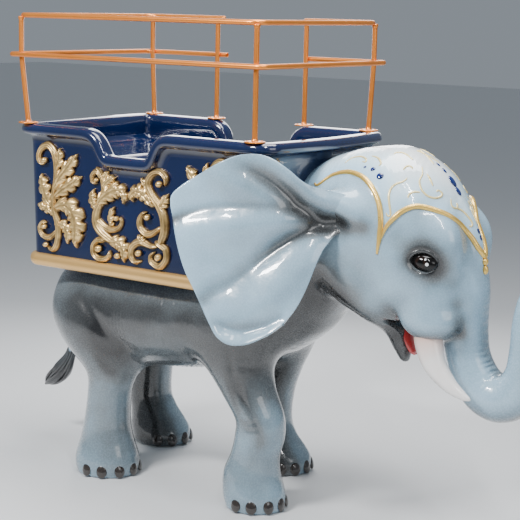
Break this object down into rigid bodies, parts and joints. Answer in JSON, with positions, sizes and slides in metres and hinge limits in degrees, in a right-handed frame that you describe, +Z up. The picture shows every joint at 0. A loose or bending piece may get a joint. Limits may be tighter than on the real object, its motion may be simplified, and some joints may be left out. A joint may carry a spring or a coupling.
{
  "type": "carousel elephant with passenger tub",
  "caption": "Standing ride-on elephant of glossy fibreglass that carries a blue passenger tub with gold reliefs, bench seats and a rail of bent tube.",
  "frame": {"origin": "middle of the bounding box at floor level, between the four feet", "axes": "+X towards the elephant's trunk, +Y towards its left side, where the doorway is, +Z up"},
  "size_m": [2.6389, 1.2656, 2],
  "materials": {
    "elephant_skin": "glossy gelcoat, airbrushed light blue-grey to dark grey",
    "tub_blue": "high gloss navy gelcoat",
    "antique_gold": "antique gold paint on moulded relief",
    "bead_gold": "glossy gold paint",
    "rail_copper": "copper-gold metallic paint on steel tube",
    "ivory": "glossy ivory white",
    "tongue_red": "glossy red",
    "eye_black": "glossy dark brown",
    "tail_hair": "moulded strands, near black"
  },
  "bodies": {
    "root": {"base_moulding_front": "antique_gold", "base_moulding_left": "antique_gold", "base_moulding_rear": "antique_gold", "base_moulding_right": "antique_gold", "bench_front": "tub_blue", "bench_rear": "tub_blue", "ear_left": "elephant_skin", "ear_right": "elephant_skin", "eye_left": "eye_black", "eye_right": "eye_black", "forehead_drop": "bead_gold", "head": "elephant_skin", "head_cloth_bead": "bead_gold", "leg_front_left": "elephant_skin", "leg_front_right": "elephant_skin", "leg_hind_left": "elephant_skin", "leg_hind_right": "elephant_skin", "lower_jaw": "elephant_skin", "mid_rail": "rail_copper", "post_door_front": "rail_copper", "post_door_rear": "rail_copper", "post_front_left": "rail_copper", "post_front_right": "rail_copper", "post_rear_left": "rail_copper", "post_rear_right": "rail_copper", "relief_left_1": "antique_gold", "relief_left_2": "antique_gold", "relief_left_3": "antique_gold", "relief_right_1": "antique_gold", "relief_right_2": "antique_gold", "relief_right_3": "antique_gold", "relief_right_4": "antique_gold", "tail": "elephant_skin", "tail_tuft": "tail_hair", "tongue": "tongue_red", "top_rail": "rail_copper", "torso": "elephant_skin", "trunk": "elephant_skin", "tub": "tub_blue", "tub_floor": "tub_blue", "tusk_left": "ivory", "tusk_right": "ivory"}
  },
  "joints": []
}
